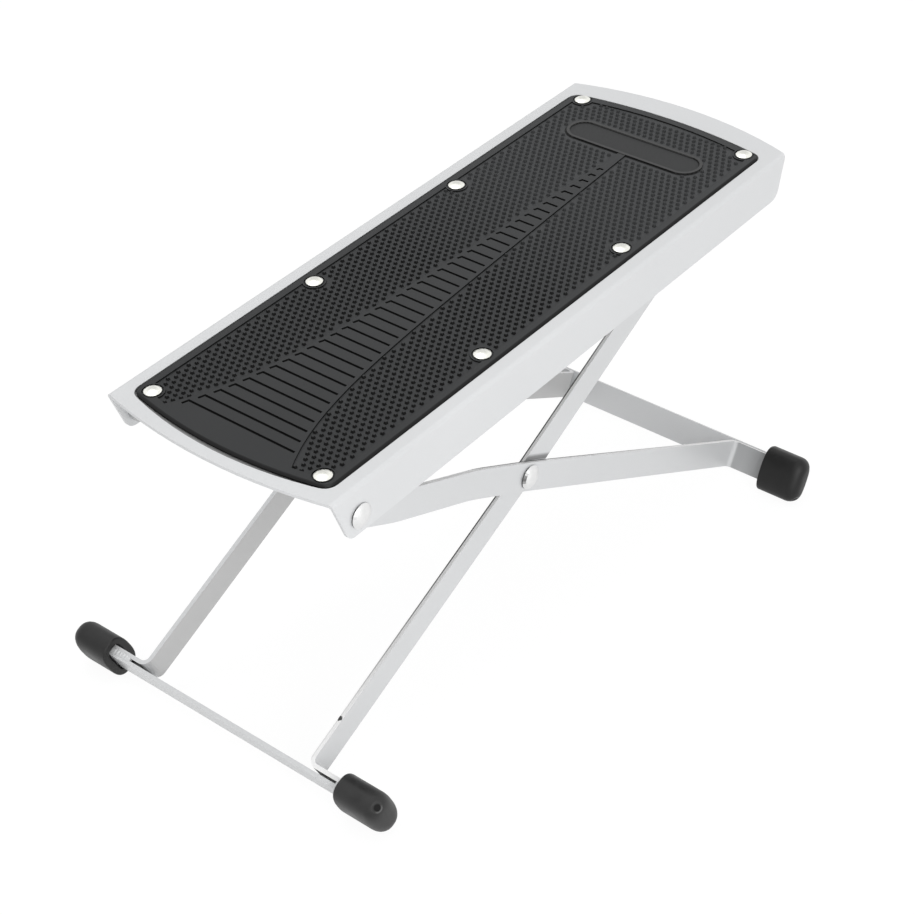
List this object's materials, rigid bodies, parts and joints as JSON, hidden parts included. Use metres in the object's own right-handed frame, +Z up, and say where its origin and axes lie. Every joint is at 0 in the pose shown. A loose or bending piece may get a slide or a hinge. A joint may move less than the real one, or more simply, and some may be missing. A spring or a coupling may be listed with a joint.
{
  "type": "guitar footrest",
  "caption": "Folding foot stool with a riveted rubber-covered steel platform on a scissor stand of flat steel strips, raised and lowered by a notched rack under the platform.",
  "frame": {"origin": "on the floor under the middle of the whole footrest's bounding box, as it stands opened at its lowest notch", "axes": "+Z up, +Y along the footrest from the player's end to the raised end of the platform, +X to the right seen from the player's end"},
  "size_m": [0.1524, 0.273, 0.1491],
  "materials": {
    "tray_paint": "smooth silver-grey paint, satin",
    "frame_paint": "smooth silver-grey paint, satin",
    "mat_rubber": "charcoal rubber, moulded with small pips and grooves, matte",
    "cap_rubber": "black rubber, satin",
    "rivet_steel": "bright plated steel",
    "rack_steel": "plain zinc-plated steel"
  },
  "bodies": {
    "rear_frame": {"rear_arm_left": "frame_paint", "rear_arm_right": "frame_paint", "rear_crossbar": "frame_paint", "rear_cap_left": "cap_rubber", "rear_cap_right": "cap_rubber", "middle_rivet_left": "rivet_steel", "middle_rivet_right": "rivet_steel", "pivot_rivet_left": "rivet_steel", "pivot_rivet_right": "rivet_steel"},
    "front_frame": {"front_arm_left": "frame_paint", "front_arm_right": "frame_paint", "front_crossbar": "frame_paint", "front_cap_left": "cap_rubber", "front_cap_right": "cap_rubber", "ratchet_rod": "rivet_steel"},
    "platform": {"tray": "tray_paint", "mat": "mat_rubber", "mat_rivet_1": "rivet_steel", "mat_rivet_2": "rivet_steel", "mat_rivet_3": "rivet_steel", "mat_rivet_4": "rivet_steel", "mat_rivet_5": "rivet_steel", "mat_rivet_6": "rivet_steel", "mat_rivet_7": "rivet_steel", "mat_rivet_8": "rivet_steel", "rack_left": "rack_steel", "rack_right": "rack_steel"}
  },
  "joints": [
    {"name": "leg_fold", "type": "hinge", "parent": "rear_frame", "child": "front_frame", "pos_m": [0, -0.01618, 0.07237], "axis": [1, 0, 0], "range_deg": [-49, 42.5]},
    {"name": "platform_turn", "type": "hinge", "parent": "rear_frame", "child": "platform", "pos_m": [0, -0.11474, 0.11299], "axis": [1, 0, 0], "range_deg": [-24.6, 21.4]}
  ],
  "couplings": [
    {"joint": "platform_turn", "follows": "leg_fold", "ratio": 0.5}
  ]
}
